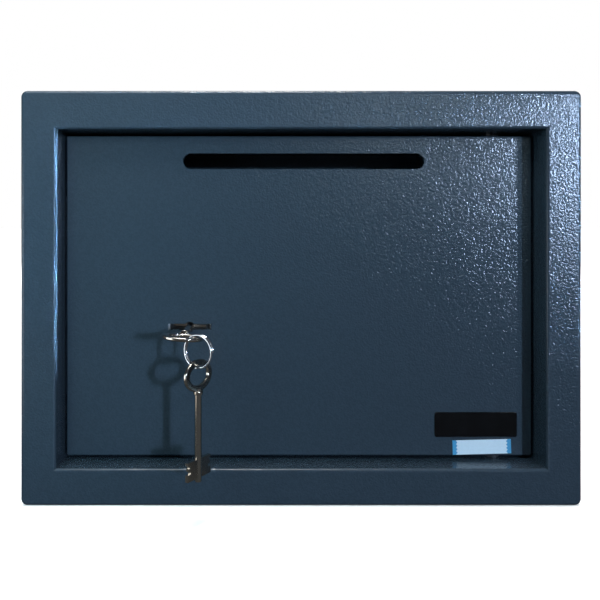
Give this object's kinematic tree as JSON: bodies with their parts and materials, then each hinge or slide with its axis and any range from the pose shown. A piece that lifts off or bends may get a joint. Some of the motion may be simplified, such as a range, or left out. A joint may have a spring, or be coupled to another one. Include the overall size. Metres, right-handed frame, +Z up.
{
  "type": "drop slot safe",
  "caption": "Small steel deposit safe with a recessed key-locked door, a letterbox drop slot over a baffle chute, sliding round bolts, and a spare key on a ring.",
  "frame": {"origin": "middle of the underside of the cabinet, on the surface that it stands on", "axes": "+X to the right as seen from the front, +Y from the front to the back, +Z up"},
  "size_m": [0.35, 0.2865, 0.259],
  "materials": {
    "painted_steel": "dark blue-grey powder coat with an orange-peel texture, satin to semi-gloss",
    "zinc_steel": "bright zinc plate",
    "chromed_steel": "polished plate",
    "nickel_key": "tumbled nickel plate, lightly worn",
    "lever_brass": "stamped sheet",
    "felt": "needled felt",
    "badge_black": "gloss black, blank",
    "label_paper": "printed film, blank"
  },
  "bodies": {
    "cabinet": {"body_wrapper": "painted_steel", "front_frame": "painted_steel", "back_panel": "painted_steel", "floor_mat": "felt", "bolt_keeper": "painted_steel", "door_stop": "painted_steel", "hinge_bracket_top": "painted_steel", "hinge_bracket_bottom": "painted_steel", "hinge_pin_top": "zinc_steel", "hinge_pin_bottom": "zinc_steel", "hinge_washer_top": "zinc_steel", "hinge_washer_bottom": "zinc_steel"},
    "door": {"door_plate": "painted_steel", "badge_plate": "badge_black", "paper_label": "label_paper", "drop_chute": "painted_steel", "chute_studs": "zinc_steel", "chute_nuts": "zinc_steel", "lock_case": "zinc_steel", "lock_cover": "zinc_steel", "lock_screws": "zinc_steel", "lever_pin": "zinc_steel", "lock_post": "zinc_steel", "lever_springs": "zinc_steel", "bolt_guides": "zinc_steel", "door_pan": "painted_steel", "inner_cover": "painted_steel", "cover_screws": "zinc_steel", "hinge_lug_top": "painted_steel", "hinge_lug_bottom": "painted_steel"},
    "boltwork": {"lock_bolt": "zinc_steel", "bolt_bar": "zinc_steel", "bolt_screws": "zinc_steel", "round_bolt_lower": "chromed_steel", "round_bolt_upper": "chromed_steel"},
    "levers": {"lever_1": "lever_brass", "lever_2": "lever_brass", "lever_3": "lever_brass", "lever_4": "lever_brass"},
    "curtain": {"lock_curtain": "zinc_steel"},
    "lock_key": {"key": "nickel_key"},
    "ring": {"key_ring": "chromed_steel"},
    "hanging_key": {"spare_key": "nickel_key"}
  },
  "joints": [
    {"name": "door_swing", "type": "hinge", "parent": "cabinet", "child": "door", "pos_m": [0.1275, -0.0985, 0.129], "axis": [0, 0, 1], "range_deg": [0, 110]},
    {"name": "bolt_slide", "type": "slide", "parent": "door", "child": "boltwork", "axis": [1, 0, 0], "range_m": [0, 0.016]},
    {"name": "key_turn", "type": "hinge", "parent": "door", "child": "curtain", "pos_m": [-0.0714, -0.1, 0.1089], "axis": [0, 1, 0], "range_deg": [0, 90]},
    {"name": "lever_lift", "type": "hinge", "parent": "door", "child": "levers", "pos_m": [-0.0434, -0.096, 0.1209], "axis": [0, 1, 0], "range_deg": [0, 12.5], "deforming": ["lever_springs"]},
    {"name": "key_withdraw", "type": "slide", "parent": "curtain", "child": "lock_key", "axis": [0, -1, 0], "range_m": [0, 0.045]},
    {"name": "ring_swing", "type": "hinge", "parent": "lock_key", "child": "ring", "pos_m": [-0.06208, -0.15107, 0.10817], "axis": [0.5225, 0.8526, 0], "range_deg": [-35, 28]},
    {"name": "spare_key_swing", "type": "hinge", "parent": "ring", "child": "hanging_key", "pos_m": [-0.06208, -0.15107, 0.09177], "axis": [0.8526, -0.5225, 0], "range_deg": [-35, 15]}
  ],
  "couplings": [
    {"joint": "key_turn", "follows": "bolt_slide", "rad_per_m": 98.1},
    {"joint": "lever_lift", "follows": "bolt_slide", "rad_per_m": 13.09}
  ]
}
